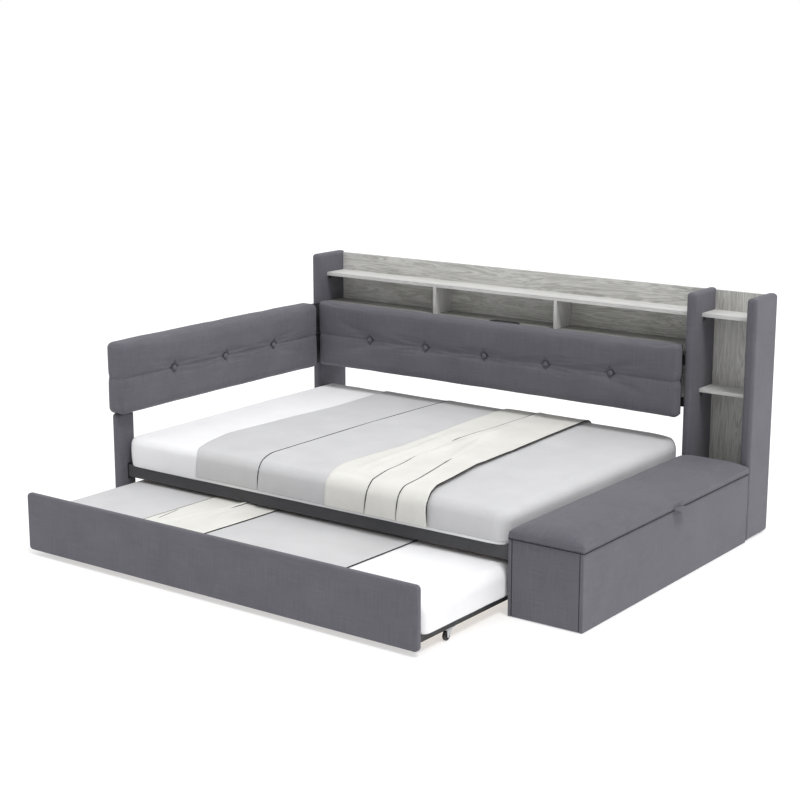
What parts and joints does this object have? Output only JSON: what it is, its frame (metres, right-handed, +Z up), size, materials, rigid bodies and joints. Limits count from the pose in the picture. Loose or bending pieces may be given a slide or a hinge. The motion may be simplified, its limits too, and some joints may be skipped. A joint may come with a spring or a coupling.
{
  "type": "trundle bed",
  "caption": "Upholstered daybed with a bookcase back, padded arm, lidded storage box at one end and a pull-out trundle bed on casters.",
  "frame": {"origin": "centre of the whole footprint on the floor, with the trundle drawn out as it rests", "axes": "+X along the bed from the padded arm to the storage box, +Y to the wall side with the bookcase, +Z up"},
  "size_m": [2.282, 2.04, 1],
  "materials": {
    "upholstery": "woven linen-look cloth",
    "oak": "light grey oak grain foil",
    "frame_steel": "black powder coat",
    "zinc_steel": "zinc plated",
    "slat_wood": "bare pine",
    "core_board": "plywood",
    "box_board": "board covered in woven cloth",
    "mattress_cloth": "white knitted ticking",
    "cover_cloth": "light grey cotton",
    "throw_cloth": "cream knitted throw",
    "black_plastic": "fine texture",
    "wheel_plastic": "moulded nylon"
  },
  "bodies": {
    "bed_frame": {"left_post": "upholstery", "middle_post": "upholstery", "right_post": "upholstery", "front_leg": "upholstery", "floor_glides": "black_plastic", "back_panel": "oak", "tower_back_panel": "oak", "long_shelf": "oak", "cubby_floor": "oak", "shelf_dividers": "oak", "tower_shelves": "oak", "shelf_brackets": "frame_steel", "hub_case": "black_plastic", "hub_sockets": "black_plastic", "backrest_board": "box_board", "backrest_pad": "upholstery", "backrest_buttons": "upholstery", "backrest_brackets": "zinc_steel", "arm_board": "box_board", "arm_pad": "upholstery", "arm_buttons": "upholstery", "arm_rear_spacers": "box_board", "front_rail": "upholstery", "rear_rail": "upholstery", "left_end_rail": "upholstery", "right_end_rail": "upholstery", "rail_plates": "frame_steel", "slat_ledgers": "slat_wood", "centre_beam": "frame_steel", "slats": "slat_wood", "mattress": "mattress_cloth", "bed_cover": "cover_cloth", "bed_throw": "throw_cloth", "box_left_panel": "box_board", "box_right_panel": "box_board", "box_front_panel": "box_board", "box_back_panel": "box_board", "box_floor": "core_board", "hinge_box_leaves": "zinc_steel", "hinge_pins": "zinc_steel"},
    "trundle": {"trundle_panel": "upholstery", "trundle_side_rails": "frame_steel", "trundle_cross_rails": "frame_steel", "trundle_ledgers": "frame_steel", "trundle_slats": "slat_wood", "trundle_mattress": "mattress_cloth", "trundle_cover": "cover_cloth", "caster_plates": "zinc_steel"},
    "storage_lid": {"lid_board": "box_board", "lid_pad": "upholstery", "lid_pull_tab": "upholstery", "hinge_lid_leaves": "zinc_steel"},
    "fork_front_left": {"caster_fork_front_left": "zinc_steel"},
    "wheel_front_left": {"caster_wheel_front_left": "wheel_plastic"},
    "fork_front_right": {"caster_fork_front_right": "zinc_steel"},
    "wheel_front_right": {"caster_wheel_front_right": "wheel_plastic"},
    "fork_rear_left": {"caster_fork_rear_left": "zinc_steel"},
    "wheel_rear_left": {"caster_wheel_rear_left": "wheel_plastic"},
    "fork_rear_right": {"caster_fork_rear_right": "zinc_steel"},
    "wheel_rear_right": {"caster_wheel_rear_right": "wheel_plastic"}
  },
  "joints": [
    {"name": "trundle_slide", "type": "slide", "parent": "bed_frame", "child": "trundle", "axis": [0, -1, 0], "range_m": [-0.508, 0.5]},
    {"name": "lid_hinge", "type": "hinge", "parent": "bed_frame", "child": "storage_lid", "pos_m": [0.825, 0.1585, 0.312], "axis": [0, -1, 0], "range_deg": [0, 74]},
    {"name": "swivel_front_left", "type": "hinge", "parent": "trundle", "child": "fork_front_left", "pos_m": [-1.0555, -0.805, 0.04], "axis": [0, 0, 1], "continuous": true},
    {"name": "roll_front_left", "type": "hinge", "parent": "fork_front_left", "child": "wheel_front_left", "pos_m": [-1.0555, -0.818, 0.017], "axis": [1, 0, 0], "continuous": true},
    {"name": "swivel_front_right", "type": "hinge", "parent": "trundle", "child": "fork_front_right", "pos_m": [0.7895, -0.805, 0.04], "axis": [0, 0, 1], "continuous": true},
    {"name": "roll_front_right", "type": "hinge", "parent": "fork_front_right", "child": "wheel_front_right", "pos_m": [0.7895, -0.818, 0.017], "axis": [1, 0, 0], "continuous": true},
    {"name": "swivel_rear_left", "type": "hinge", "parent": "trundle", "child": "fork_rear_left", "pos_m": [-1.0555, -0.165, 0.04], "axis": [0, 0, 1], "continuous": true},
    {"name": "roll_rear_left", "type": "hinge", "parent": "fork_rear_left", "child": "wheel_rear_left", "pos_m": [-1.0555, -0.178, 0.017], "axis": [1, 0, 0], "continuous": true},
    {"name": "swivel_rear_right", "type": "hinge", "parent": "trundle", "child": "fork_rear_right", "pos_m": [0.7895, -0.165, 0.04], "axis": [0, 0, 1], "continuous": true},
    {"name": "roll_rear_right", "type": "hinge", "parent": "fork_rear_right", "child": "wheel_rear_right", "pos_m": [0.7895, -0.178, 0.017], "axis": [1, 0, 0], "continuous": true}
  ]
}
